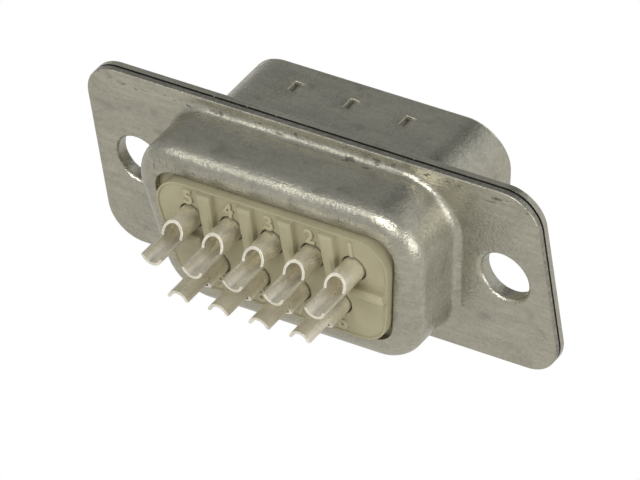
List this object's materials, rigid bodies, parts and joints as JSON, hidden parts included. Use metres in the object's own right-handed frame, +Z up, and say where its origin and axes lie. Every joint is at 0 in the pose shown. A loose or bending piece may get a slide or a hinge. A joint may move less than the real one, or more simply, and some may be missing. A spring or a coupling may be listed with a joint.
{
  "type": "d-sub connector",
  "caption": "D-shaped plug connector with a drawn metal shell, a flange with fixing holes, mating pins at the front and solder cups at the back.",
  "frame": {"origin": "centre of the flange's front face, midway between the two fixing holes", "axes": "+X along the flange, from contact 5 to contact 1 in the wide row; +Y the mating direction, out of the skirt; +Z up, towards the wide row of five contacts"},
  "size_m": [0.0308, 0.015, 0.0124],
  "materials": {
    "shell_steel": "satin tin plate over drawn steel",
    "insulator_plastic": "satin, glass-filled thermoplastic",
    "contact_tin": "satin tin plate over brass"
  },
  "bodies": {
    "root": {"front_shell": "shell_steel", "rear_shell": "shell_steel", "front_insulator": "insulator_plastic", "rear_insulator": "insulator_plastic", "contact_1": "contact_tin", "contact_2": "contact_tin", "contact_3": "contact_tin", "contact_4": "contact_tin", "contact_5": "contact_tin", "contact_6": "contact_tin", "contact_7": "contact_tin", "contact_8": "contact_tin", "contact_9": "contact_tin"}
  },
  "joints": []
}
